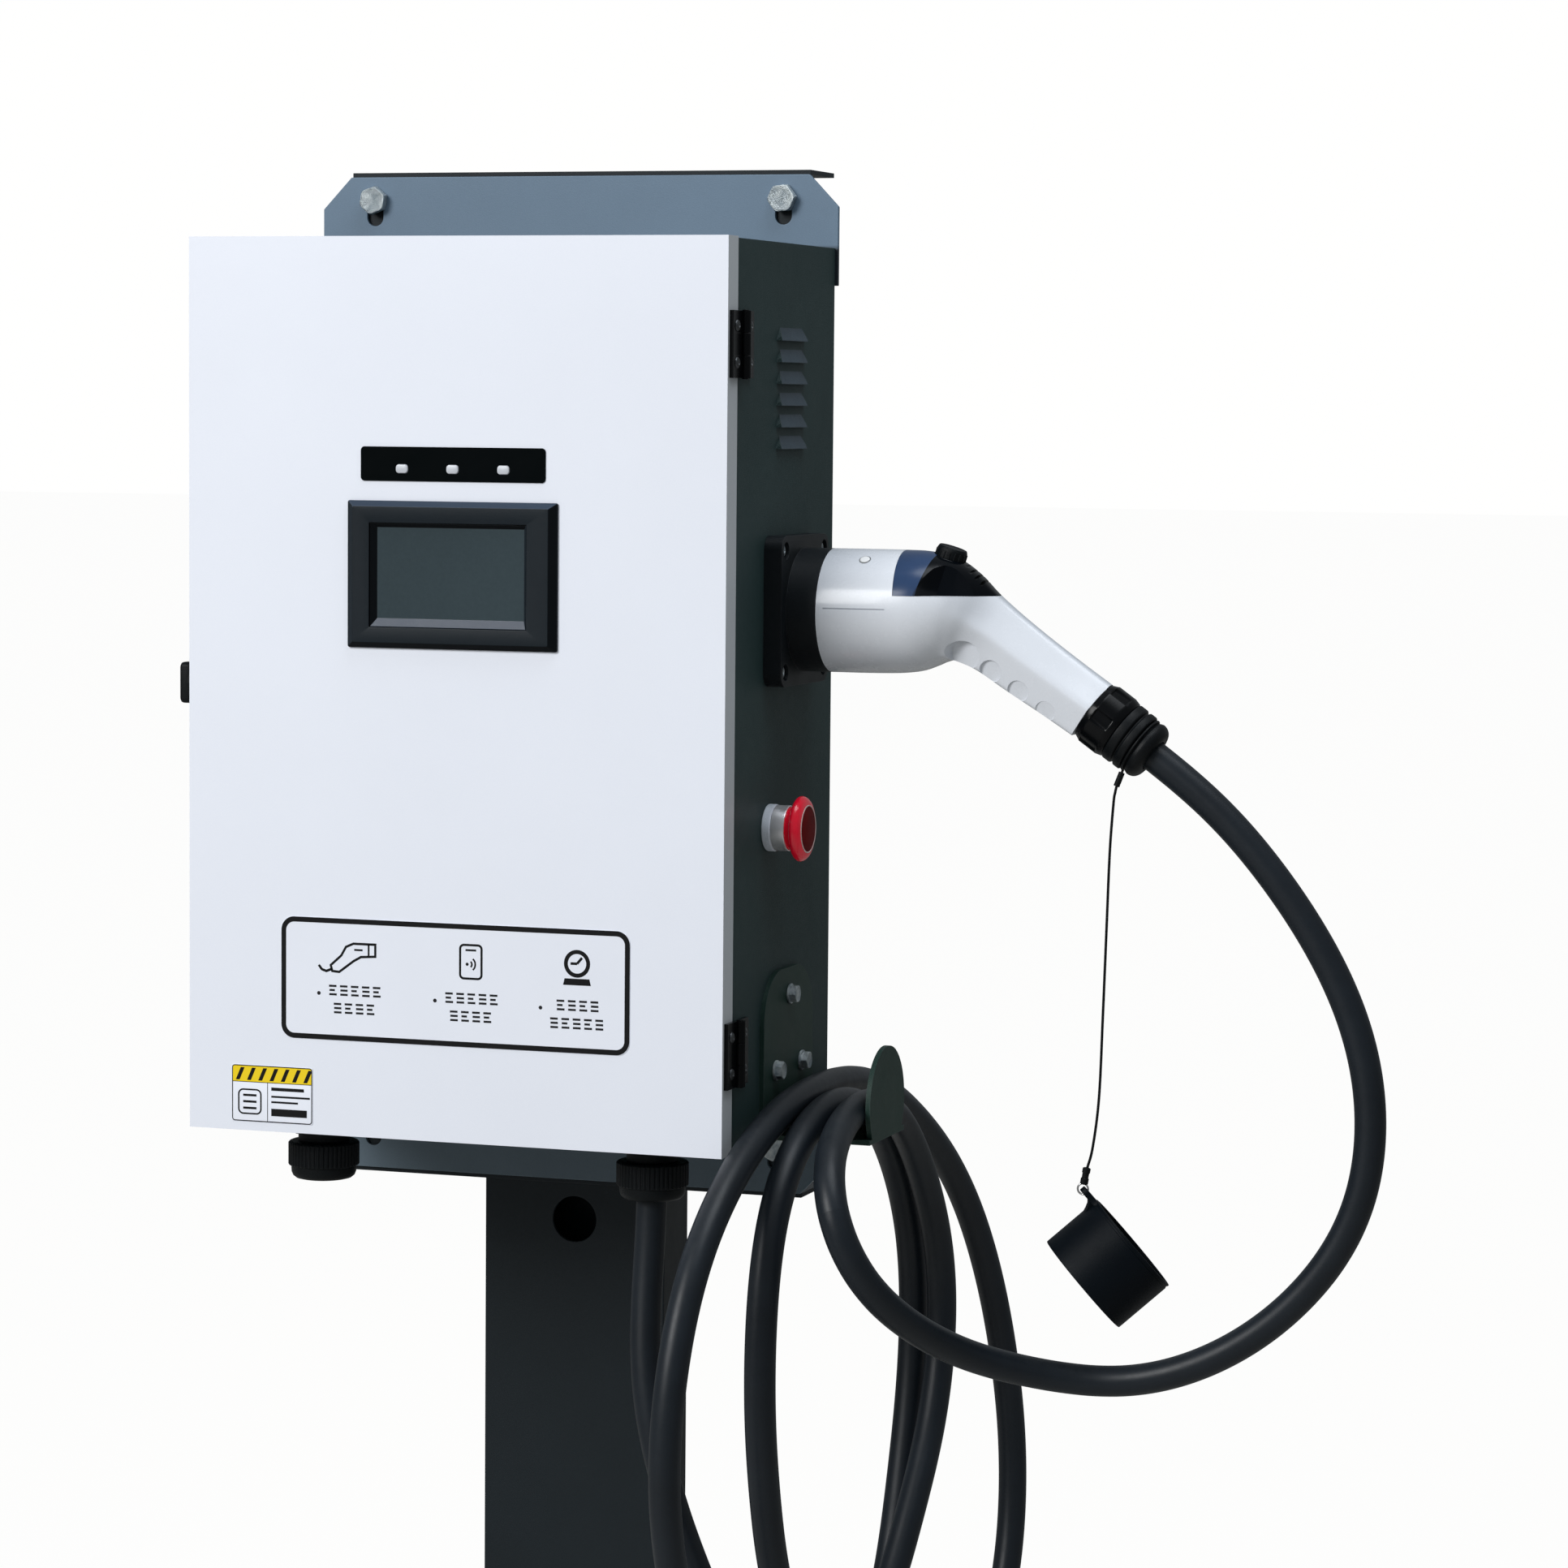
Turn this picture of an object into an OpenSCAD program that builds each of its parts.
// Electric vehicle charging post: a steel column carrying a wall-box cabinet with a
// hinged door, a holstered charging connector, a coiled cable on a hook and an
// emergency stop. Millimetres, +Z up, origin on the ground under the column's centre.
// The door faces -Y; its hinges, the connector and the emergency stop are on the +X side.

/* [Post] */
// Width of the column
post_w = 125; // [115:1:135]
// Depth of the column
post_d = 45; // [42:0.5:48]
// Wall thickness of the column
post_t = 2.5; // [2:0.5:4]
// Radius of the cable hole in the column's front
post_hole_r = 15; // [8:0.5:18]
// Width of the base plate
base_w = 240; // [220:5:300]
// Depth of the base plate
base_d = 220; // [200:5:260]
// Thickness of the base plate
base_t = 8; // [6:1:14]
// Radius of the anchor holes
anchor_r = 7; // [5:0.5:8]

/* [Cabinet] */
// Height of the door's lower edge above the ground
cab_z = 900; // [890:1:1000]
// Width of the door
cab_w = 350; // [346:1:356]
// Height of the door
cab_h = 550; // [545:1:580]
// Sheet thickness of the cabinet and the door
sheet = 1.5; // [1.2:0.1:2]
// Depth of the door's folded edge
door_d = 18; // [17:0.5:19]

/* [Fittings] */
// Radius of the connector head
gun_r = 38; // [36:0.5:39]
// Radius of the charging cable
cable_r = 9.5; // [7:0.5:9.5]
// Radius of the emergency stop's mushroom
stop_r = 20; // [18:0.5:22]
// Radius of the louvred fan's blades
fan_r = 36; // [30:1:37]

/* [Hidden] */

charcoal = "#272c30";
shade = "#3a4346";
slate = "#6b7c8c";
white = "#eef0f6";
black = "#15171a";
zinc = "#b9bfc4";
cable_black = "#14181d";

bracket_t = 3;                     // thickness of the brackets and ear plates
post_front = -post_d/2;            // front face of the column
y_rear = post_front - 2*bracket_t; // rear face of the cabinet
y_door = y_rear - 205.5;           // front face of the door
y_lip = y_door + door_d + 2;       // front face of the cabinet's lip
body_z0 = cab_z + 1;               // underside of the cabinet body
body_z1 = cab_z + cab_h - 1;       // top of the cabinet body
body_x = cab_w/2 - 0.5;            // half width of the cabinet body
door_x = cab_w/2;                  // half width of the door

// ---- helpers --------------------------------------------------------------
module rounded_rect(width, height, radius) {
  square([width - 2*radius, height], center = true);
  square([width, height - 2*radius], center = true);
  for (i = [-1, 1], j = [-1, 1])
    translate([i*(width/2 - radius), j*(height/2 - radius)]) circle(radius, $fn = 32);
}
// extrudes a drawing in (X, Z) along Y
module extrude_y(from, to) {
  translate([0, to, 0]) rotate([90, 0, 0]) linear_extrude(to - from) children();
}
// extrudes a drawing in (Y, Z) along X
module extrude_x(from, to) {
  translate([from, 0, 0]) rotate([90, 0, 90]) linear_extrude(to - from) children();
}
// round bars along each axis
module bar_x(from, to, y, z, radius, sides = 48) {
  translate([from, y, z]) rotate([0, 90, 0]) cylinder(h = to - from, r = radius, $fn = sides);
}
module bar_y(from, to, x, z, radius, sides = 48) {
  translate([x, to, z]) rotate([90, 0, 0]) cylinder(h = to - from, r = radius, $fn = sides);
}
module bar_z(from, to, x, y, radius, sides = 48) {
  translate([x, y, from]) cylinder(h = to - from, r = radius, $fn = sides);
}
// a bar along X at each [y, z] spot
module bars_x(from, to, spots, radius, sides = 32) {
  for (spot = spots) bar_x(from, to, spot[0], spot[1], radius, sides);
}
// screws along X, their heads seated on x and pointing towards +X
module screws_x(x, spots, head_r, head_h, shank_r, length) {
  bars_x(x, x + head_h, spots, head_r);
  bars_x(x - length, x + 0.01, spots, shank_r);
}
// box between two opposite corners
module box(low, high) { translate(low) cube(high - low); }
module both_sides() { for (m = [0, 1]) mirror([m, 0, 0]) children(); }
function hex_radius(across_flats) = across_flats/sqrt(3);

// closed skin over a list of rings with equal numbers of points
module skin(rings) {
  last = len(rings) - 1;
  n = len(rings[0]);
  polyhedron(
    points = [for (ring = rings) each ring],
    faces = concat(
      [[for (i = [0:n - 1]) i]],
      [[for (i = [n - 1:-1:0]) last*n + i]],
      [for (j = [0:last - 1], i = [0:n - 1])
        [j*n + i, (j + 1)*n + i, (j + 1)*n + (i + 1)%n]],
      [for (j = [0:last - 1], i = [0:n - 1])
        [j*n + i, (j + 1)*n + (i + 1)%n, j*n + (i + 1)%n]]));
}

// ---- paths and tubes --------------------------------------------------------
// Catmull-Rom curve from b to c, with neighbours a and d
function curve_point(a, b, c, d, t) =
  0.5*(2*b + (c - a)*t + (2*a - 5*b + 4*c - d)*t*t + (3*b - a - 3*c + d)*t*t*t);
// smooth curve through the points, its ends extended in a straight line
function spline(path, steps = 6) =
  let (last = len(path) - 1)
  concat([for (i = [0:last - 1], k = [0:steps - 1]) curve_point(
      i > 0 ? path[i - 1] : 2*path[0] - path[1],
      path[i],
      path[i + 1],
      i < last - 1 ? path[i + 2] : 2*path[last] - path[last - 1],
      k/steps)],
    [path[last]]);
// running length at each point of a path
function running_length(path) = [
  for (i = 0, sum = 0; i < len(path);
    sum = sum + (i + 1 < len(path) ? norm(path[i + 1] - path[i]) : 0), i = i + 1) sum];
// points at even spacing along a path
function even(path, step) =
  let (lengths = running_length(path),
    total = lengths[len(path) - 1],
    count = round(total/step),
    tables = [for (axis = [0:2]) [for (i = [0:len(path) - 1]) [lengths[i], path[i][axis]]]])
  [for (i = [0:count]) [for (axis = [0:2]) lookup(total*i/count, tables[axis])]];
// averages each inner point with its neighbours, the given number of times
function relax(path, times) = times == 0 ? path : relax(
  [for (i = [0:len(path) - 1]) i == 0 || i == len(path) - 1
    ? path[i] : (path[i - 1] + 2*path[i] + path[i + 1])/4], times - 1);
function unit(v) = v/norm(v);
function tangent(path, i) = unit(path[min(i + 1, len(path) - 1)] - path[max(i - 1, 0)]);
// unit vector nearest to v and square to the unit vector t
function square_to(v, t) = unit(v - (v*t)*t);
// sideways direction at each point, carried along without twist
function sideways(path, start) = [
  for (i = 0, side = square_to(start, tangent(path, 0)); i < len(path);
    i = i + 1, side = i < len(path) ? square_to(side, tangent(path, i)) : side) side];
// eight-sided tube round a path; first and last give the direction at its ends
module tube(path, radius, start_side, first = undef, last = undef) {
  end = len(path) - 1;
  sides = sideways(path, start_side);
  directions = [for (i = [0:end]) i == 0 && !is_undef(first) ? first
    : i == end && !is_undef(last) ? last : tangent(path, i)];
  skin([for (i = [0:end])
    let (side = square_to(sides[i], directions[i]), up = cross(directions[i], side))
    [for (k = [0:7]) path[i] + radius*cos(45*k)*side + radius*sin(45*k)*up]]);
}

// ---- column -------------------------------------------------------------
anchor_inset = 25;                 // anchor holes from the base plate's edges
bracket_x = 157;                   // half width of the cross brackets
bracket_h = 70;                    // height of the brackets' webs
upper_z0 = cab_z + 525.5;          // lower edge of the upper web
upper_z1 = upper_z0 + bracket_h;   // top of the column
lower_z0 = cab_z - 54;             // lower edge of the lower web
lower_z1 = lower_z0 + bracket_h;
bolt_x = 140;                      // half spacing of the mounting bolts
bolt_z = [cab_z + 580.5, cab_z - 24];
bolt_hole_r = 5.5;
bolt_flats = 16;
washer_t = 2;
nut_h = 8.4;

module base_plate() {
  color(charcoal) difference() {
    linear_extrude(base_t) rounded_rect(base_w, base_d, 12);
    for (i = [-1, 1], j = [-1, 1])
      bar_z(-1, base_t + 1, i*(base_w/2 - anchor_inset), j*(base_d/2 - anchor_inset), anchor_r);
    // way in for the supply cable
    box([-post_w/2 + 7.5, post_front + 4.5, -1], [post_w/2 - 7.5, -post_front - 4.5, base_t + 1]);
  }
}
module base_gussets() {
  thick = 6;
  back = post_d/2;
  color(charcoal) for (side = [-1, 1], x = [-45, 45])
    translate([x - thick/2, 0, base_t]) scale([1, side, 1]) rotate([90, 0, 90])
      linear_extrude(thick)
        polygon([[back, 0], [back + 50, 0], [back + 50, 8], [back + 8, 70], [back, 70]]);
}
module post_tube() {
  color(charcoal) difference() {
    box([-post_w/2, post_front, base_t], [post_w/2, post_d/2, upper_z1]);
    box([-post_w/2 + post_t, post_front + post_t, base_t - 1],
      [post_w/2 - post_t, post_d/2 - post_t, upper_z1 + 4.5]);
    bar_y(post_front - 1, post_front + post_t + 1, 0, cab_z - 81, post_hole_r, 64);
  }
}
module bracket_web(z) {
  box([-bracket_x, post_front - bracket_t, z], [bracket_x, post_front, z + bracket_h]);
}
module web_holes(z) {
  for (i = [-1, 1]) bar_y(y_rear - 1, 0, i*bolt_x, z, bolt_hole_r);
}
module upper_cross_bracket() {
  color(slate) difference() {
    union() {
      bracket_web(upper_z0);
      // flange over the top of the column
      box([-bracket_x, post_front - bracket_t, upper_z1],
        [bracket_x, post_d/2, upper_z1 + bracket_t]);
    }
    web_holes(bolt_z[0]);
  }
}
module lower_cross_bracket() {
  y = post_front - bracket_t;
  z = lower_z0 - bracket_t;
  color(slate) difference() {
    union() {
      bracket_web(lower_z0);
      // lower flange, reaching back on both sides of the column
      both_sides() box([post_w/2, y, z], [bracket_x, post_d/2, lower_z0]);
      box([-post_w/2, y, z], [post_w/2, post_front, lower_z0]);
    }
    web_holes(bolt_z[1]);
  }
}
// plate with chamfered corners at outer_z, slotted for two bolts from slot_z0 to slot_z1
module ear_plate(inner_z, outer_z, slot_z0, slot_z1) {
  wide = body_x + 2;
  narrow = body_x - 17.5;
  corner_z = outer_z - sign(outer_z - inner_z)*20.5;
  extrude_y(y_rear, y_rear + bracket_t) difference() {
    polygon([[-wide, inner_z], [-wide, corner_z], [-narrow, outer_z],
      [narrow, outer_z], [wide, corner_z], [wide, inner_z]]);
    for (i = [-1, 1]) {
      for (z = [slot_z0, slot_z1]) translate([i*bolt_x, z]) circle(bolt_hole_r, $fn = 32);
      translate([i*bolt_x - bolt_hole_r, slot_z0]) square([2*bolt_hole_r, slot_z1 - slot_z0]);
    }
  }
}
module upper_ear_plate() {
  color(slate) ear_plate(upper_z0, upper_z1, bolt_z[0] - 11, bolt_z[0] + 0.5);
}
module lower_ear_plate() {
  color(slate) ear_plate(lower_z1, lower_z0, bolt_z[1] - 10, bolt_z[1] + 0.5);
}
module at_bolts(y) {
  for (i = [-1, 1], z = bolt_z) translate([i*bolt_x, y, z]) children();
}
module mounting_bolts() {
  color(zinc) at_bolts(y_rear) rotate([90, 0, 0]) {
    cylinder(h = 6.4, r = hex_radius(bolt_flats), $fn = 6);
    translate([0, 0, -24]) cylinder(h = 24.01, r = 5, $fn = 32);
  }
}
module mounting_washers() {
  color(zinc) at_bolts(post_front) difference() {
    bar_y(0, washer_t, 0, 0, 10);
    bar_y(-1, washer_t + 1, 0, 0, 5.3);
  }
}
module mounting_nuts() {
  color(zinc) at_bolts(post_front) difference() {
    bar_y(washer_t, washer_t + nut_h, 0, 0, hex_radius(bolt_flats), 6);
    bar_y(0, 12, 0, 0, 5.04, 32);
  }
}

// ---- places shared by the cabinet, the door and their fittings ----------------
hinge_x = door_x + 3.5;
hinge_y = y_lip + 2;
hinge_h = 40;
hinge_z = [cab_z + 466, cab_z + 41];  // lower end of each hinge
gun_y = y_door + 117;                 // connector axis
gun_z = cab_z + 325;
stop_y = y_door + 84;                 // emergency stop axis
stop_z = cab_z + 192.5;
lock_y = y_door + 9;                  // lock axis
lock_z = cab_z + 276;
gland_x = 110;                        // cable gland half spacing
gland_y = y_door + 58;
hook_y = y_door + 118;                // hook centre
hook_t = 3;                           // thickness of the hook's plates

// [y, z] of holes and screws along X
body_screws = [for (z = hinge_z, rise = [9, 31]) [hinge_y + 13, z + rise]];
door_screws = [for (z = hinge_z, rise = [9, 31]) [hinge_y - 12, z + rise]];
holster_corners = [for (i = [-1, 1], j = [-1, 1]) [gun_y + i*37, gun_z + j*37]];
hook_holes = [[hook_y + 1, cab_z + 86.4], [hook_y - 25.4, cab_z + 41.8],
  [hook_y + 24.7, cab_z + 42]];

// bar on the connector axis
module gun_bar(from, to, radius, sides) { bar_x(from, to, gun_y, gun_z, radius, sides); }
// bar on the emergency stop axis, measured from the cabinet's side
module stop_bar(from, to, radius, sides = 64) {
  bar_x(body_x + from, body_x + to, stop_y, stop_z, radius, sides);
}
// bar on the lock axis, measured from the door's -X edge
module lock_bar(from, to, radius, sides = 48) {
  bar_x(-door_x + from, -door_x + to, lock_y, lock_z, radius, sides);
}
// both glands, measured from the underside of the cabinet
module at_glands() {
  for (i = [-1, 1]) translate([i*gland_x, gland_y, body_z0]) children();
}

// ---- cabinet --------------------------------------------------------------
louvre_y = y_door + 119;
louvre_z = [for (i = [0:5]) cab_z + 423.4 + 13.2*i];
rim_d = 13;                           // how far the rain rim stands out

// wedge with sloping cheeks, widest at its lower edge
module hood(half_w, height, depth, cheek, bottom) {
  intersection() {
    rotate([90, 0, 0]) linear_extrude(2*half_w, center = true)
      polygon([[-0.1, bottom], [depth, bottom], [depth, 0.7], [0, height], [-0.1, height]]);
    rotate([90, 0, 90]) translate([0, 0, -1]) linear_extrude(depth + 2)
      polygon([[-half_w, -1], [half_w, -1], [half_w - 0.4, 1.2], [half_w - cheek, height],
        [cheek - half_w, height], [0.4 - half_w, 1.2]]);
    translate([0, 0, -1]) linear_extrude(height + 2)
      polygon([[-0.2, -half_w], [depth + 0.1, 2.2 - half_w], [depth + 0.1, half_w - 2.2],
        [-0.2, half_w]]);
  }
}
// hood open underneath
module louvre(z) {
  translate([body_x, louvre_y, z]) difference() {
    hood(half_w = 27, height = 7.9, depth = 2.9, cheek = 6, bottom = 0);
    hood(half_w = 25.6, height = 6.3, depth = 1.9, cheek = 5.4, bottom = -0.5);
  }
}
module cabinet_shell() {
  difference() {
    box([-body_x, y_lip, body_z0], [body_x, y_rear, body_z1]);
    box([-body_x + sheet, y_lip + sheet, body_z0 + sheet],
      [body_x - sheet, y_rear - sheet, body_z1 - sheet]);
    box([-156, y_lip - 1, body_z0 + 18], [156, y_lip + 5, body_z1 - 18]);
  }
}
// rain rim round the opening
module rain_rim() {
  difference() {
    box([-157, y_lip - rim_d, body_z0 + 17], [157, y_lip + sheet, body_z1 - 17]);
    box([-155.5, y_lip - rim_d - 1, body_z0 + 18.5], [155.5, y_lip + 5, body_z1 - 18.5]);
  }
}
module cabinet_holes() {
  near = body_x - 4;
  far = body_x + 4;
  both_sides() for (z = louvre_z)
    box([body_x - 5, louvre_y - 21, z + 0.6], [body_x + 0.2, louvre_y + 21, z + 5.2]);
  box([-171, y_lip - 1, lock_z - 9], [-162, y_lip + 3, lock_z + 19]); // slot for the lock cam
  stop_bar(-4, 4, 11.25, 48);
  at_glands() bar_z(-1, 3, 0, 0, 16.3);
  bars_x(near, far, hook_holes, 3.04);
  bars_x(near, far, holster_corners, 2.6);
  bars_x(near, far, body_screws, 2.1);
  gun_bar(near, far, 20, 48); // pilot wire opening behind the holster
}
// catch for the lock cam
module lock_catch() {
  box([-171, y_lip - 17.5, lock_z + 18], [-164, y_lip + 1, lock_z + 20]);
  box([-171, y_lip - 17.5, lock_z + 10], [-164, y_lip - 15.5, lock_z + 19]);
}
// threaded bosses for the hook's bolts
module hook_bosses() {
  difference() {
    bars_x(body_x - 8, body_x - 1, hook_holes, 7, 48);
    bars_x(body_x - 9, body_x + 1, hook_holes, 3.04);
  }
}
module cabinet_body() {
  color(shade) {
    difference() {
      union() {
        cabinet_shell();
        rain_rim();
        both_sides() for (z = louvre_z) louvre(z);
      }
      cabinet_holes();
    }
    lock_catch();
    hook_bosses();
    // spacers for the equipment plate
    for (x = [-130, 130], z = [cab_z + 60, cab_z + 490]) bar_y(y_rear - 6, y_rear - 1, x, z, 6);
  }
}

// ---- equipment ------------------------------------------------------------
plate_y = y_rear - 8;                 // front face of the equipment plate
fan_y = -96;                          // fan axis
fan_z = cab_z + 456;
fan_half = 41;                        // half size of the fan frame
fan_hub_r = 14;
rail_z = cab_z + 215;                 // centre of the DIN rail
rail_y = plate_y - 7.6;               // rear of the devices on the rail
breaker_x = [-140, -86];
breaker_depth = [-112, -98];          // front of the breaker's nose and of its shoulders
lever_y = -103;                       // axis of the breaker levers
pole_x = [for (i = [0:2]) breaker_x[0] + 5 + 18*i];

module equipment_plate() {
  color(zinc) extrude_y(plate_y, plate_y + 2) difference() {
    translate([0, cab_z + 275]) rounded_rect(310, 480, 6);
    translate([0, cab_z + 60]) rounded_rect(60, 20, 5);
  }
}
module fan_frame() {
  difference() {
    box([20, fan_y - fan_half, fan_z - fan_half], [44, fan_y + fan_half, fan_z + fan_half]);
    bar_x(19, 45, fan_y, fan_z, fan_r + 2, 64);
  }
  box([28, fan_y - 3, fan_z - fan_half], [32, fan_y + 3, fan_z + fan_half]);
  box([28, fan_y - fan_half, fan_z - 3], [32, fan_y + fan_half, fan_z + 3]);
  bar_x(28, 40, fan_y, fan_z, 3, 32);
}
// box with ten fins in front and the fan frame on its +X side
module power_module() {
  color("silver") {
    box([-120, -124, cab_z + 300], [20, plate_y, cab_z + 500]);
    for (x = [-118:15:17]) box([x, -142, cab_z + 304], [x + 6, -123.9, cab_z + 496]);
    fan_frame();
  }
}
module fan_rotor() {
  color(black) {
    difference() {
      bar_x(32.6, 43, fan_y, fan_z, fan_hub_r);
      bar_x(32, 40.3, fan_y, fan_z, 3.08, 32);
    }
    for (i = [0:6])
      translate([0, fan_y, fan_z]) rotate([i*360/7, 0, 0])
        translate([37.8, fan_hub_r - 1, 0]) rotate([0, 35, 0])
          translate([-0.8, 0, -6.5]) cube([1.6, fan_r - fan_hub_r, 13]);
  }
}
module contactors() {
  color("#2f3439") for (x = [-110, -40]) {
    box([x, -100, cab_z + 70], [x + 56, plate_y, cab_z + 150]);
    box([x + 6, -112, cab_z + 84], [x + 50, -99.9, cab_z + 136]);
    for (terminal = [14, 28, 42]) bar_y(-104, -99.9, x + terminal, cab_z + 76, 4, 24);
  }
}
// top-hat section, drawn in (Y, Z)
module din_rail() {
  color(zinc) extrude_x(-145, 145) translate([plate_y, rail_z]) polygon([
    [0, -9], [-1, -9], [-1, -12], [-6.5, -12], [-6.5, -17.5], [-7.5, -17.5], [-7.5, -11],
    [-2, -11], [-2, 11], [-7.5, 11], [-7.5, 17.5], [-6.5, 17.5], [-6.5, 12], [-1, 12],
    [-1, 9], [0, 9]]);
}
module breaker_body() {
  color("#dfe3e6") difference() {
    union() {
      box([breaker_x[0], breaker_depth[1], rail_z - 42], [breaker_x[1], rail_y, rail_z + 42]);
      box([breaker_x[0], breaker_depth[0], rail_z - 22],
        [breaker_x[1], breaker_depth[1] + 0.1, rail_z + 22]);
    }
    for (x = pole_x)
      box([x, breaker_depth[0] - 1, rail_z - 13], [x + 8, breaker_depth[1] + 1, rail_z + 13]);
    bar_x(breaker_x[0] - 1, breaker_x[1] + 1, lever_y, rail_z, 2.05, 32);
  }
}
// turned with the levers, from the end of their axis at x
module on_lever(x) { translate([x, lever_y, rail_z]) rotate([-25, 0, 0]) children(); }
module breaker_lever() {
  color(black) {
    bar_x(breaker_x[0] + 1, breaker_x[1] - 1, lever_y, rail_z, 2, 32);
    for (x = pole_x) {
      bar_x(x + 0.4, x + 7.6, lever_y, rail_z, 5, 32);
      on_lever(x + 0.4) translate([0, -17, -2]) cube([7.2, 15, 4]);
    }
    // bar joining the three levers
    on_lever(pole_x[0] + 0.4) translate([0, -18.5, -2.5]) cube([43.2, 3, 5]);
  }
}
module terminal_block() {
  color("#5f6f5f") difference() {
    box([-70, -84, rail_z - 25], [90, rail_y, rail_z + 25]);
    for (i = [0:12], z = [rail_z - 26, rail_z + 12]) bar_z(z, z + 14, -64 + i*12, -72, 3.4, 24);
  }
}

// ---- hinges -----------------------------------------------------------------
leaf_t = 2.5;

// leaf on a side face at leaf_x; knuckles are [low, high] above the hinge's lower end,
// web and flat are [front, rear] from the hinge axis
module hinge_leaf(leaf_x, knuckles, web, flat, screws, bore_r) {
  for (z = hinge_z) difference() {
    union() {
      for (knuckle = knuckles) {
        bar_z(z + knuckle[0], z + knuckle[1], hinge_x, hinge_y, 3.5);
        box([leaf_x, hinge_y + web[0], z + knuckle[0]],
          [leaf_x + leaf_t, hinge_y + web[1], z + knuckle[1]]);
      }
      box([leaf_x, hinge_y + flat[0], z], [leaf_x + leaf_t, hinge_y + flat[1], z + hinge_h]);
    }
    bar_z(z - 1, z + hinge_h + 1, hinge_x, hinge_y, bore_r, 32);
    bars_x(leaf_x - 2, leaf_x + 6, screws, 2.1);
  }
}
module hinge_body_leaves() {
  color(black) hinge_leaf(leaf_x = body_x, knuckles = [[13.4, 26.6]], web = [0, 4.2],
    flat = [4, 20], screws = body_screws, bore_r = 2.02);
}
module hinge_door_leaves() {
  color(black) hinge_leaf(leaf_x = door_x, knuckles = [[0, 13], [27, 40]], web = [-4.2, 0],
    flat = [-19, -4], screws = door_screws, bore_r = 2.07);
}
module hinge_pins() {
  color(zinc) for (z = hinge_z) bar_z(z - 0.6, z + hinge_h + 0.6, hinge_x, hinge_y, 2, 32);
}
module hinge_screws(x, spots) {
  screws_x(x + leaf_t, spots, head_r = 3.6, head_h = 1.4, shank_r = 1.9, length = 9);
}
module hinge_body_screws() { color(zinc) hinge_screws(body_x, body_screws); }
module hinge_door_screws() { color(zinc) hinge_screws(door_x, door_screws); }

// ---- door -------------------------------------------------------------------
lens_z = cab_z + 409.8;

// three indicator outlines in a row, drawn in (X, Z)
module lens_row(width, height) {
  for (x = [-33, 0, 33]) translate([x, lens_z]) rounded_rect(width, height, 2);
}
module door_panel() {
  color(white) difference() {
    box([-door_x, y_door, cab_z], [door_x, y_door + door_d, cab_z + cab_h]);
    box([-door_x + sheet, y_door + sheet, cab_z + sheet],
      [door_x - sheet, y_door + door_d + 1, cab_z + cab_h - sheet]);
    box([-63.5, y_door - 1, cab_z + 306], [63.5, y_door + 5, cab_z + 385.5]); // display opening
    extrude_y(y_door - 1, y_door + 5) lens_row(8.2, 5.7);
    lock_bar(-1, 5, 5.2);
    bars_x(door_x - 4, door_x + 4, door_screws, 2.1);
  }
}
module door_gasket() {
  body_h = body_z1 - body_z0;
  color(black) extrude_y(y_door + sheet, y_lip - rim_d - 0.3)
    translate([0, (body_z0 + body_z1)/2]) difference() {
      rounded_rect(322, body_h - 26, 5);
      rounded_rect(300, body_h - 48, 5);
    }
}
module lock_housing() {
  color(black) difference() {
    union() {
      lock_bar(-2, 0, 7.8);
      lock_bar(-1, 5, 5);
    }
    lock_bar(-3, 6, 3.56, 32);
  }
}
module lock_knob() {
  color(black) {
    extrude_x(-door_x - 8.6, -door_x - 2.1)
      translate([lock_y, lock_z]) rounded_rect(11, 25.5, 3);
    lock_bar(-2.2, 9, 3.5, 32);
  }
}
module lock_cam() {
  color(zinc) extrude_x(-door_x + 5.6, -door_x + 8.6) translate([lock_y, lock_z]) difference() {
    union() {
      circle(6.6, $fn = 32);
      translate([0, -3.4]) square([15.4, 6.8]);
    }
    circle(3.51, $fn = 32);
  }
}
module glass_outline(width, height) {
  translate([-2, cab_z + 345.4]) rounded_rect(width, height, 0.8);
}
module display_bezel() {
  color(black) extrude_y(y_door - 4, y_door) difference() {
    translate([0, cab_z + 345.7]) rounded_rect(137, 90, 2);
    glass_outline(102, 63);
  }
}
module display_glass() {
  color("#27323a") extrude_y(y_door - 1.6, y_door - 0.1) glass_outline(101.6, 62.6);
}
module display_module() {
  color("#33383c") {
    box([-62.5, y_door, cab_z + 307], [62.5, y_door + 30, cab_z + 384.5]);
    box([-40, y_door + 29.9, cab_z + 320], [40, y_door + 36, cab_z + 370]);
  }
}
module indicator_overlay() {
  color(black) extrude_y(y_door - 0.8, y_door) difference() {
    translate([0, cab_z + 412.7]) rounded_rect(120.5, 21, 2.3);
    lens_row(8.1, 5.6);
  }
}
// three lenses on a common backing strip
module indicator_lenses() {
  color("#dfe4ea") {
    extrude_y(y_door - 1.3, y_door + 7.1) lens_row(7.8, 5.3);
    extrude_y(y_door + 7, y_door + 8.6) translate([0, lens_z]) rounded_rect(86, 14, 1.5);
  }
}
module label(x, z, width, height, radius) {
  extrude_y(y_door - 0.4, y_door) translate([x, z]) rounded_rect(width, height, radius);
}
module instruction_label() { color(white) label(1.6, cab_z + 96.8, 229, 75.6, 8); }
module hazard_label() { color("#e8c838") label(-119, cab_z + 23.2, 55, 35.4, 1); }

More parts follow.
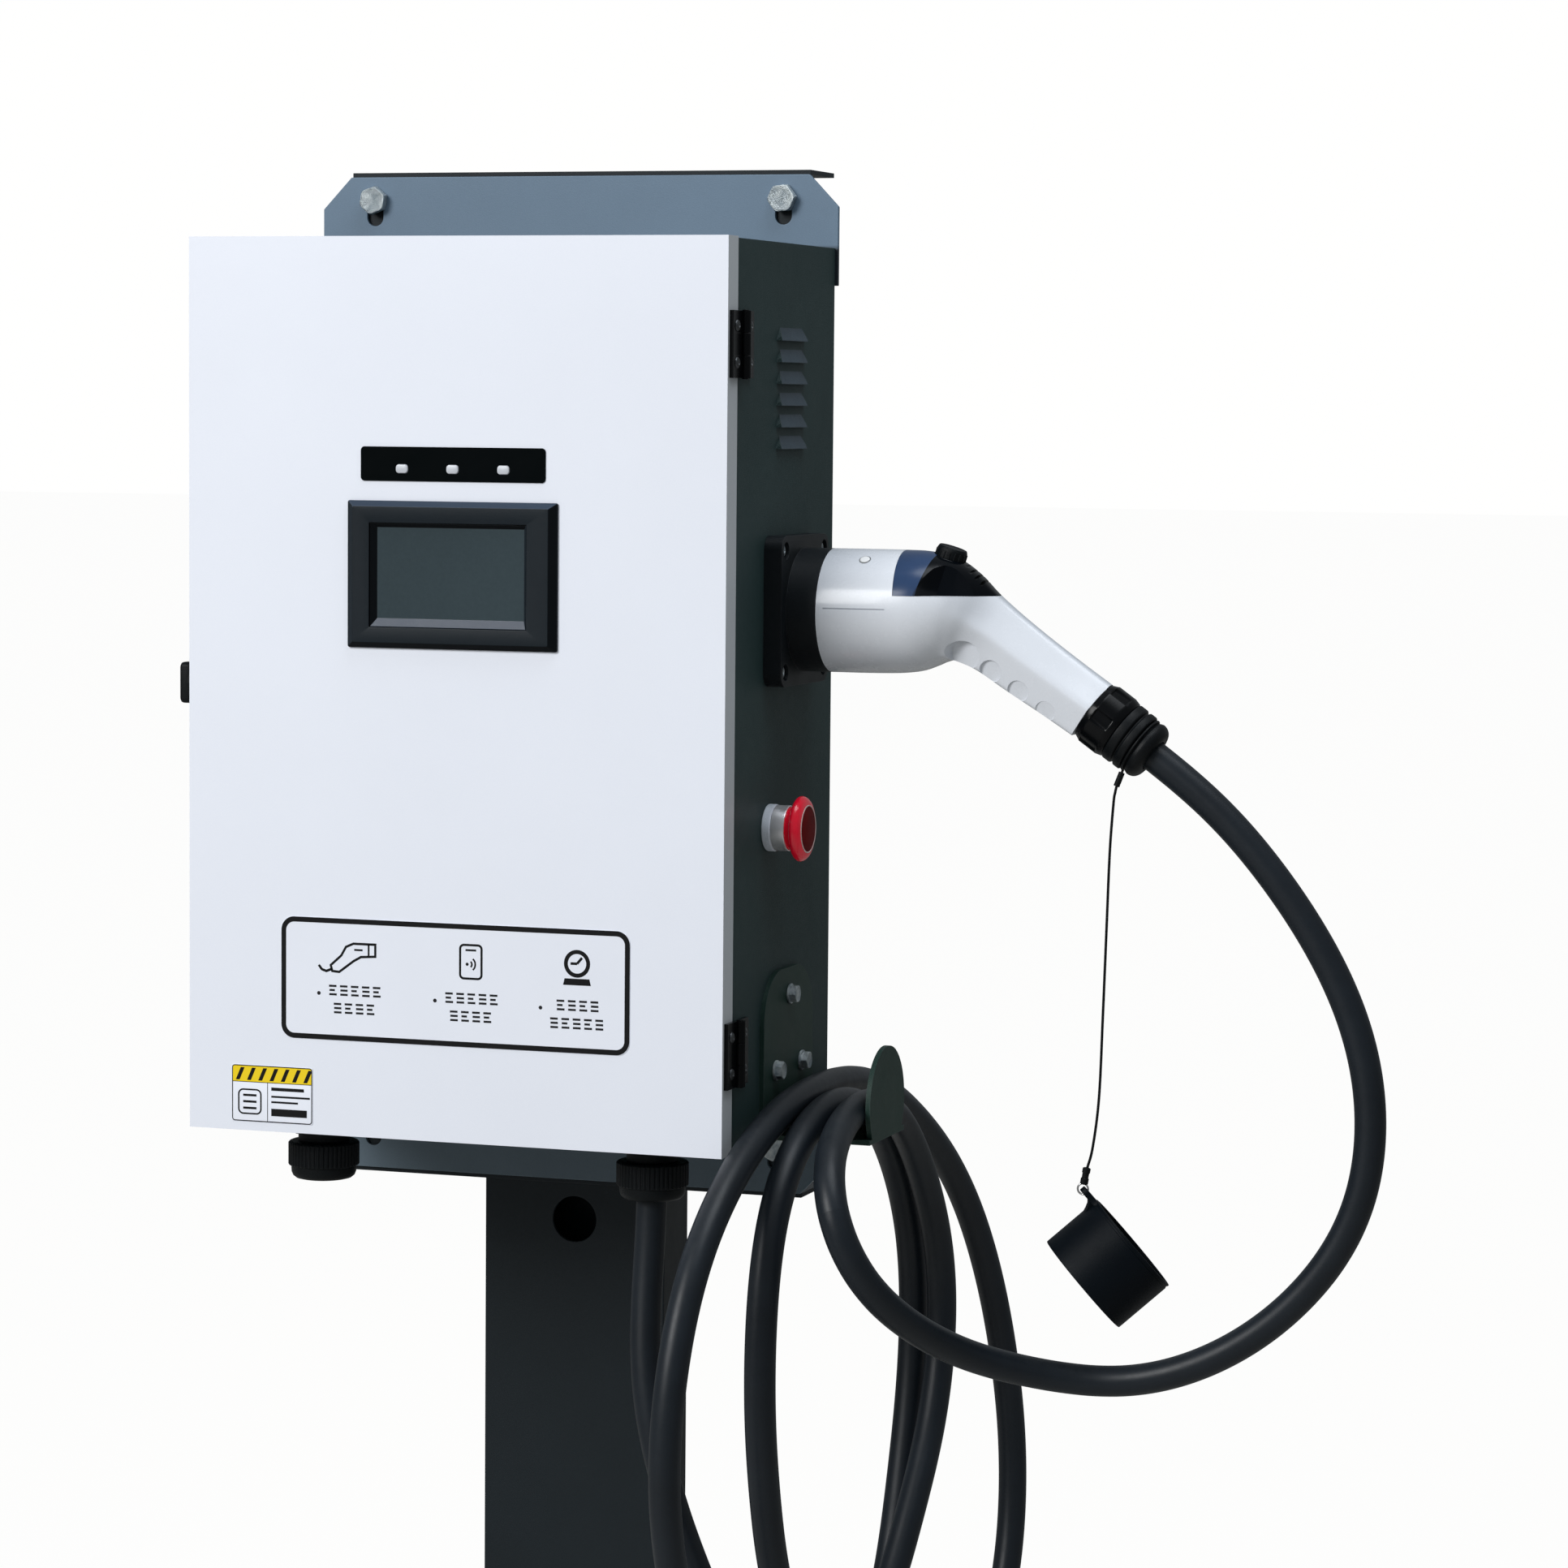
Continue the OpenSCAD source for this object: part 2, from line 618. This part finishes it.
// ---- holster and connector ----------------------------------------------------
droop = 35.5;                         // droop of the connector's handle
handle_x = 370.3;                     // handle end
handle_rise = 268.4;                  // handle end above the door's lower edge
shell_wall = 3.4;
latch_x = 240;                        // latch lever pivot
latch_z = gun_z + 22.5;

// the connector's outline: [x, z above cab_z, droop, half width, half height]
stations = [
  [205, 325, 0, gun_r, gun_r],
  [228, 325, 0, gun_r, gun_r],
  [250, 325.2, 1, gun_r - 0.1, gun_r - 0.3],
  [265, 325.6, 4, gun_r - 1, gun_r - 1.4],
  [278, 325, 11, gun_r - 4, gun_r - 4.6],
  [288, 321.9, 20, gun_r - 8.8, gun_r - 9.4],
  [297, 317, 29.5, 23.4, 24],
  [310, 309.2, 35, 19.2, 21.2],
  [330.1, 295.1, droop, 17.7, 20.1],
  [351.6, 280.8, droop, 17.6, 19.1],
  [handle_x, handle_rise, droop, 18.4, 18.6]];
// [y, z, radius] of the contacts, from the connector axis
contacts = [[-13, 3, 5.5], [13, 3, 5.5], [0, -16, 4], [-19, -15, 1.8], [19, -15, 1.8],
  [-11, 19, 1.8], [11, 19, 1.8], [-9, -25, 1.8], [9, -25, 1.8]];

module holster() {
  color(black) difference() {
    union() {
      extrude_x(body_x, body_x + 11.5) translate([gun_y, gun_z]) rounded_rect(92, 92, 9);
      gun_bar(body_x + 11, 204.6, gun_r, 96);
    }
    gun_bar(body_x + 2.5, 206, 33.6, 96);
    bars_x(body_x - 1, body_x + 13, holster_corners, 2.6);
    bars_x(body_x + 8, body_x + 13, holster_corners, 5.2);
  }
}
module holster_screws() {
  color(zinc) screws_x(body_x + 8, holster_corners,
    head_r = 4.4, head_h = 2.4, shank_r = 2.4, length = 16);
}

// elliptical ring at a station, enlarged by grow
function station_ring(station, grow) =
  let (tilt = station[2], half_w = station[3] + grow, half_h = station[4] + grow)
  [for (i = [0:31]) let (angle = 360*i/32) [
    station[0] + half_h*sin(angle)*sin(tilt),
    gun_y + half_w*cos(angle),
    cab_z + station[1] + half_h*sin(angle)*cos(tilt)]];
module loft(list, grow) { skin([for (station = list) station_ring(station, grow)]); }
// along the handle's axis, beyond its end
module along_handle(distance) {
  translate([handle_x, gun_y, cab_z + handle_rise]) rotate([0, 90 + droop, 0])
    translate([0, 0, distance]) children();
}
// region of the top cover, enlarged by grow
module cover_region(grow) {
  split_z = cab_z + 335.9 - grow;
  extrude_y(gun_y - 45, gun_y + 45) polygon([[250.3 - grow, cab_z + 370],
    [253 - grow, split_z], [314, split_z], [314, cab_z + 370]]);
}
module gun_cavity() {
  gun_bar(204, 258, 34.2, 64);
  loft([for (i = [2:7]) stations[i]], -shell_wall);
  along_handle(-90) cylinder(h = 92, r = 12, $fn = 32);
}
module connector_shell() {
  color("#f1f1ee") difference() {
    loft(stations, 0);
    gun_cavity();
    cover_region(0);
  }
}
module button_axis() { translate([280.5, gun_y, cab_z + 364]) rotate([0, 17.5, 0]) children(); }
module connector_top_cover() {
  color(black) difference() {
    intersection() {
      loft(stations, 0);
      cover_region(-0.25);
    }
    gun_cavity();
    button_axis() bar_z(-30, 10, 0, 0, 10.4);
  }
}
module contact_bars(from, to, clearance = 0) {
  for (contact = contacts)
    bar_x(from, to, gun_y + contact[0], gun_z + contact[1], contact[2] + clearance, 32);
}
module connector_nose() {
  color(black) {
    difference() {
      union() {
        gun_bar(179, 205.2, 32.6, 96);
        gun_bar(205, 250, 33.8, 96);
      }
      box([178, gun_y - 4.6, gun_z + 16], [252, gun_y + 4.6, gun_z + 40]); // latch groove
      contact_bars(178, 251, 0.06);
      contact_bars(178, 186, 2);
    }
    bar_y(gun_y - 4.8, gun_y + 4.8, latch_x, latch_z, 2, 32);
  }
}
module connector_contacts() { color("#c9a54a") contact_bars(182, 262); }
module release_button() {
  color(black) button_axis() {
    bar_z(-8, 0, 0, 0, 10);
    bar_z(-13.2, -7.2, 0, 0, 3, 32);
  }
}
module latch_lever() {
  low_y = gun_y - 3.4;
  high_y = gun_y + 3.4;
  color("#3b4046") difference() {
    union() {
      box([188, low_y, latch_z - 3], [281, high_y, latch_z + 3]);
      box([188, low_y, latch_z - 5.5], [193, high_y, latch_z - 2.5]);
      bar_y(low_y, high_y, latch_x, latch_z, 4.4, 32);
    }
    bar_y(gun_y - 5, gun_y + 5, latch_x, latch_z, 2.06, 32);
  }
}
module cable_nut() {
  color(black) along_handle(0.1) difference() {
    union() {
      cylinder(h = 5, r1 = 18.6, r2 = 20.4, $fn = 48);
      translate([0, 0, 4.99]) cylinder(h = 12, r = 20.4, $fn = 48);
      translate([0, 0, 16.98]) cylinder(h = 4, r1 = 20.4, r2 = 19, $fn = 48);
    }
    bar_z(-1, 23, 0, 0, 11.4);
  }
}
// turned profile, [radius, distance along the handle]
module strain_relief() {
  color(black) along_handle(21.2) rotate_extrude($fn = 64) polygon(concat(
    [[10.3, 0], [19.4, 0], [19.4, 6], [17.6, 6.5], [17.6, 7.5], [19.2, 8], [19.2, 12.8],
      [16.8, 13.2], [16.8, 16], [18.2, 17]],
    [for (a = [0:15:90]) [12.6 + 6*cos(a), 18.6 + 6.4*sin(a)]],
    [[10.3, 25]]));
}

// ---- lanyard and dust cap -------------------------------------------------------
// a loop in the strain relief's groove, a crimp, a wire and the dust cap's ring
// the wire's centre line, [x, z above cab_z]
lanyard_route = [[385.3, 223.4], [384.2, 218.5], [383.3, 212], [381.4, 182], [380, 133],
  [378.6, 84], [376.9, 33], [373.4, 2], [369.9, -12]];
crimp_end = [385, cab_z + 222.6];     // lower end of the upper crimp, [x, z]
crimp_bore = [0.65, 1.65];            // half length of the bore in that end
cap_centre = [383.4, cab_z - 70];
cap_tilt = 49.1;                      // its axis from the vertical
cap_turn = 20;                        // how far it hangs turned round its ring
ring_local = [-45, 18];               // ring centre from the cap's, along the cap's axes
ring_x = cap_centre[0] + ring_local[0]*cos(cap_tilt) + ring_local[1]*sin(cap_tilt);
ring_z = cap_centre[1] - ring_local[0]*sin(cap_tilt) + ring_local[1]*cos(cap_tilt);

// round bar between two [x, z] points in the plane of the connector
module plane_bar(from, to, radius) {
  run = to - from;
  translate([from[0], gun_y, from[1]]) rotate([0, atan2(run[0], run[1]), 0])
    cylinder(h = norm(run), r = radius, $fn = 24);
}
module lanyard_ferrule() {
  color(shade) {
    along_handle(35.7) rotate_extrude($fn = 64) translate([17.75, 0]) circle(0.8, $fn = 16);
    plane_bar([389.1, cab_z + 233.2], [388, cab_z + 230.3], 0.8);
    difference() {
      plane_bar([388.2, cab_z + 230.8], crimp_end, 1.9);
      plane_bar(crimp_end + crimp_bore, crimp_end - crimp_bore, 1.35);
    }
  }
}
module lanyard_wire() {
  points = [for (point = lanyard_route) [point[0], gun_y, cab_z + point[1]]];
  color(black) {
    tube(relax(even(spline(points), 8), 1), 0.8, [0, 1, 0]);
    difference() {
      plane_bar([369.9, cab_z - 11], [368.1, ring_z + 2.9], 2.1);
      plane_bar([369.8, cab_z - 9], [369.75, cab_z - 12.5], 0.5);
    }
    translate([ring_x, gun_y, ring_z]) rotate([90, 0, 0])
      rotate_extrude($fn = 48) translate([3.3, 0]) circle(0.6, $fn = 16);
  }
}
// the cap in its own frame: +Z is the open side, the closed end is below
module upright_cap() {
  lug_x = -41.7;
  lug_r = 4.2;
  difference() {
    bar_z(-20, 20, 0, 0, 34, 96);
    bar_z(-17, 23, 0, 0, 31.6, 96);
  }
  difference() {
    union() {
      translate([lug_x, 0, 16.2]) cylinder(h = 3.6, r = lug_r, $fn = 48);
      translate([lug_x, -lug_r, 16.2]) cube([9.2, 2*lug_r, 3.6]);
      translate([-36.5, -lug_r, 13.7]) cube([4.2, 2*lug_r, 2.6]);
    }
    bar_z(14, 22, lug_x, 0, 2.1, 32);
  }
}
module dust_cap() {
  color(black) translate([ring_x, gun_y, ring_z]) rotate([0, 0, cap_turn])
    translate([cap_centre[0] - ring_x, 0, cap_centre[1] - ring_z]) rotate([0, cap_tilt, 0])
      upright_cap();
}

// ---- emergency stop ----------------------------------------------------------
module estop_collar() {
  color(zinc) difference() {
    union() {
      stop_bar(0, 5.3, 14.5);
      stop_bar(5.2, 14.6, 14);
      stop_bar(-24, 0.1, 11);
    }
    stop_bar(6, 16, 13.05);
    stop_bar(-25, 8, 5.06, 48);
  }
}
module estop_stem() { color("#8a8f94") stop_bar(-28, 17.5, 5, 48); }
module estop_mushroom() {
  edge_r = 3.6;
  color("#b3121c") difference() {
    union() {
      stop_bar(11.5, 20, 12.95);
      translate([body_x + 18.6, stop_y, stop_z]) rotate([0, 90, 0]) rotate_extrude($fn = 96)
        polygon(concat([[0, 0], [13, 0]],
          [for (a = [-60:15:75]) [stop_r - edge_r + edge_r*cos(a), 3.4 + edge_r*sin(a)]],
          [[13.4, 7.2], [13, 6.4], [0, 6.4]]));
    }
    stop_bar(10, 17.8, 5.04, 48);
  }
}
module estop_contact_block() {
  color("#2b5f3a") difference() {
    box([body_x - 62, stop_y - 15, stop_z - 20], [body_x - 24.1, stop_y + 15, stop_z + 20]);
    stop_bar(-34, -23, 5.6, 48);
  }
}

// ---- hook and glands -----------------------------------------------------------
hook_half = 47.5;                     // half width of the hook's back plate
shelf_half = 35.5;                    // half width of the hook's shelf
shelf_x = 242;                        // outer end of the shelf

module hook_back_plate() {
  extrude_x(body_x, body_x + hook_t) translate([hook_y, cab_z]) {
    translate([0, 50.5]) rounded_rect(2*hook_half, 105, 33);
    translate([-hook_half, 8]) square([2*hook_half, 40]);
    polygon([[-hook_half, 8.01], [-shelf_half, 0], [shelf_half, 0], [hook_half, 8.01]]);
  }
}
module cable_hook() {
  color(shade) difference() {
    union() {
      hook_back_plate();
      box([body_x, hook_y - shelf_half, cab_z], [shelf_x, hook_y + shelf_half, cab_z + hook_t]);
      // round end plate
      extrude_x(shelf_x - hook_t, shelf_x)
        translate([hook_y, cab_z + 21.5]) circle(shelf_half, $fn = 64);
    }
    // trims the end plate level with the shelf
    box([200, hook_y - 60, cab_z - 40], [260, hook_y + 60, cab_z]);
    bars_x(body_x - 1, body_x + 5, hook_holes, 3.3);
  }
}
module hook_bolts() {
  seat = body_x + hook_t;
  color(zinc) {
    bars_x(seat, seat + 1.6, hook_holes, 6.3);
    bars_x(seat + 1.59, seat + 5.79, hook_holes, hex_radius(10), 6);
    bars_x(seat - 13, seat + 0.1, hook_holes, 3);
  }
}
module gland_bodies() {
  color(black) at_glands() difference() {
    union() {
      bar_z(-14, 9, 0, 0, 16);
      bar_z(-8, 0, 0, 0, hex_radius(38), 6);
    }
    bar_z(-20, 20, 0, 0, 10.5);
  }
}
module gland_locknuts() {
  color(black) at_glands() difference() {
    bar_z(sheet, sheet + 6, 0, 0, hex_radius(40), 6);
    bar_z(0, 9, 0, 0, 16.06);
  }
}
module gland_caps() {
  color(black) at_glands() difference() {
    union() {
      bar_z(-27, -8.5, 0, 0, 22.3, 64);
      bar_z(-33, -26.9, 0, 0, 20.3, 64);
      translate([0, 0, -37]) cylinder(h = 4.1, r1 = 16.5, r2 = 20.3, $fn = 64);
    }
    bar_z(-40, 0, 0, 0, 10.5);
    bar_z(-14, 0, 0, 0, 16.1);
  }
}

// ---- cable ---------------------------------------------------------------------
// centre line of the cable, [x, y, z above cab_z]: from the gland round the hook
loops_route = [
  [110, -176, 30], [110, -176, -10], [110, -176.5, -50], [109, -184, -100],
  [112, -193, -149], [123, -197, -195], [139, -190, -250], [163, -153, -335],
  [190, -78, -428], [213, 22, -470], [231, 120, -425], [240, 176, -345],
  [239, 194, -265], [233, 188, -192], [224, 171, -125], [213, 136, -64],
  [201, 78, -16], [192.5, 15, 14], [190, -50, 24], [190, -108, 25],
  [189.5, -170, 20], [187, -252, -8], [182, -309, -58], [178, -333, -122],
  [176, -336, -178], [178, -322, -240], [184, -282, -315], [192, -215, -370],
  [200, -130, -390], [207, -50, -360], [211, -4, -306], [213, 12, -255],
  [214, 26, -210], [214, 38, -158], [212, 40, -95], [210.5, 8, -38],
  [209.3, -45, 5], [209.3, -105, 20.5], [208, -150, 18], [205.5, -190, 2],
  [203.5, -224, -34], [202.5, -239, -91], [202.5, -240, -160], [203.5, -230, -209],
  [205, -216, -260], [211, -175, -317], [219, -115, -338], [226, -62, -310],
  [232, -30, -260], [235.5, 8, -208], [236, 29, -152], [234.5, 30, -98],
  [231.5, -4, -38], [229, -55, 7], [228.3, -108, 21.5], [228.5, -150, 19.5],
  [231.5, -188, 11], [238, -224, -2], [245, -245, -21]];
// and on to the connector's handle
lead_route = [
  [253, -247, -44], [266, -232, -74], [286, -197, -103], [313, -155, -127],
  [349, -122, -140], [389, -115, -144.5], [430, -117, -134], [474, -117, -110.5],
  [513, -117, -73], [538, -117, -31], [546, -117, 19], [539.5, -117, 71],
  [516.5, -117, 124], [480, -117, 176], [444.5, -117, 214.5], [413.3, -117, 237.7],
  [389, -117, 255.05], [375.2, -117, 264.9]];

// route points in the post's frame; y is as listed when the door front is at -234
function placed(route) = [for (p = route) [p[0], p[1] - y_door - 234, p[2] + cab_z]];
cable_path = relax(even(spline(placed(concat(loops_route, lead_route))), 22), 3);
// the loops and the lead meet at the path's point nearest to the joint of the two routes
route_joint = placed(loops_route)[len(loops_route) - 1];
nearest = min([for (point = cable_path) norm(point - route_joint)]);
joint = [for (i = [0:len(cable_path) - 1])
  if (norm(cable_path[i] - route_joint) <= nearest + 0.001) i][0];
joint_direction = tangent(cable_path, joint);
joint_gap = 0.05;

module cable_loops() {
  color(cable_black)
    tube([for (i = [0:joint]) cable_path[i]], cable_r, [1, 0, 0], last = joint_direction);
}
module cable_lead() {
  color(cable_black) tube([for (i = [joint:len(cable_path) - 1])
    cable_path[i] + (i == joint ? joint_gap : 0)*joint_direction],
    cable_r, [1, 0, 0], first = joint_direction);
}

base_plate();
base_gussets();
post_tube();
upper_cross_bracket();
lower_cross_bracket();
upper_ear_plate();
lower_ear_plate();
mounting_bolts();
mounting_washers();
mounting_nuts();
cabinet_body();
equipment_plate();
power_module();
fan_rotor();
contactors();
din_rail();
breaker_body();
breaker_lever();
terminal_block();
hinge_body_leaves();
hinge_door_leaves();
hinge_pins();
hinge_body_screws();
hinge_door_screws();
door_panel();
door_gasket();
lock_housing();
lock_knob();
lock_cam();
display_bezel();
display_glass();
display_module();
indicator_overlay();
indicator_lenses();
instruction_label();
hazard_label();
holster();
holster_screws();
connector_shell();
connector_top_cover();
connector_nose();
connector_contacts();
release_button();
latch_lever();
cable_nut();
strain_relief();
lanyard_ferrule();
lanyard_wire();
dust_cap();
estop_collar();
estop_stem();
estop_mushroom();
estop_contact_block();
cable_hook();
hook_bolts();
gland_bodies();
gland_caps();
gland_locknuts();
cable_loops();
cable_lead();
